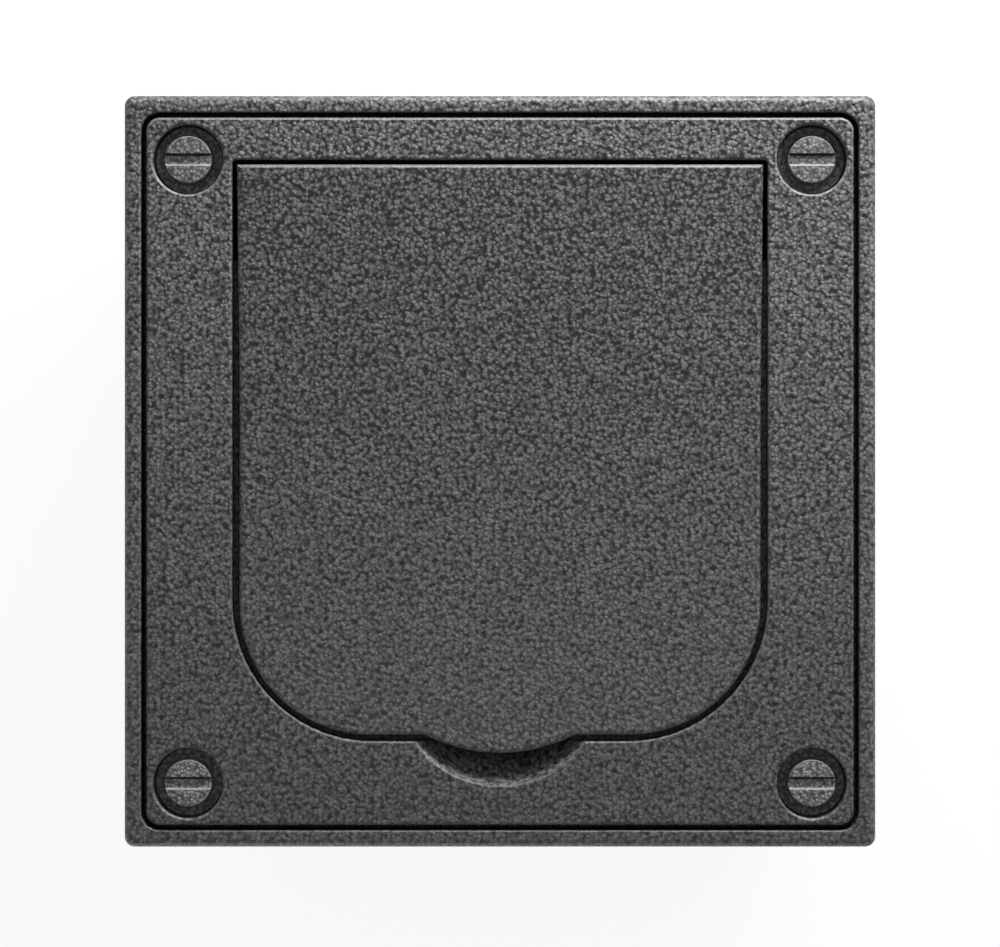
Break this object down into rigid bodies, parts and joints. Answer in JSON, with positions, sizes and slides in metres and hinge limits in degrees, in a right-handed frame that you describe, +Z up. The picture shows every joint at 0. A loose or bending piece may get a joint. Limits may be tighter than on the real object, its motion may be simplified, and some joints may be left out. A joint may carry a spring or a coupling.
{
  "type": "flush floor outlet box",
  "caption": "Square cast floor box, flush with the floor, with a sprung hinged lid and finger scoop over a socket outlet, corner-screwed cover plate and side conduit entries.",
  "frame": {"origin": "middle of the box's flat underside", "axes": "+Z up out of the floor through the visible face, +Y towards the lid's hinge, +X to the right as the picture shows the face"},
  "size_m": [0.11, 0.11, 0.07],
  "materials": {
    "hammer_enamel": "satin",
    "black_rubber": "matte",
    "screw_steel": "satin",
    "zinc_steel": "satin",
    "stainless_steel": "satin",
    "grey_polycarbonate": "satin",
    "black_thermoset": "satin",
    "brass": "satin",
    "black_nylon": "satin"
  },
  "bodies": {
    "box": {"box_body": "hammer_enamel", "cover_gasket": "black_rubber", "cover_plate": "hammer_enamel", "cover_screws": "screw_steel", "cover_screw_washers": "black_rubber", "hinge_pin": "stainless_steel", "hinge_spring_left": "stainless_steel", "hinge_spring_right": "stainless_steel", "device_ring": "zinc_steel", "device_screws": "zinc_steel", "device_seal": "black_rubber", "socket_face": "grey_polycarbonate", "socket_base": "black_thermoset", "centre_screw": "zinc_steel", "earth_bracket": "brass", "line_contact": "brass", "neutral_contact": "brass", "terminal_screws": "zinc_steel", "earth_screw": "brass", "earth_washer": "zinc_steel", "blanking_plug_left": "black_nylon", "blanking_plug_right": "black_nylon", "plug_seals": "black_rubber"},
    "lid": {"lid": "hammer_enamel", "lid_gasket": "black_rubber"}
  },
  "joints": [
    {"name": "lid_hinge", "type": "hinge", "parent": "box", "child": "lid", "pos_m": [0, 0.03695, 0.067], "axis": [-1, 0, 0], "range_deg": [0, 115], "stiffness_Nm_per_rad": 0.026, "springref_deg": -65.89, "deforming": ["hinge_spring_left", "hinge_spring_right"]}
  ]
}
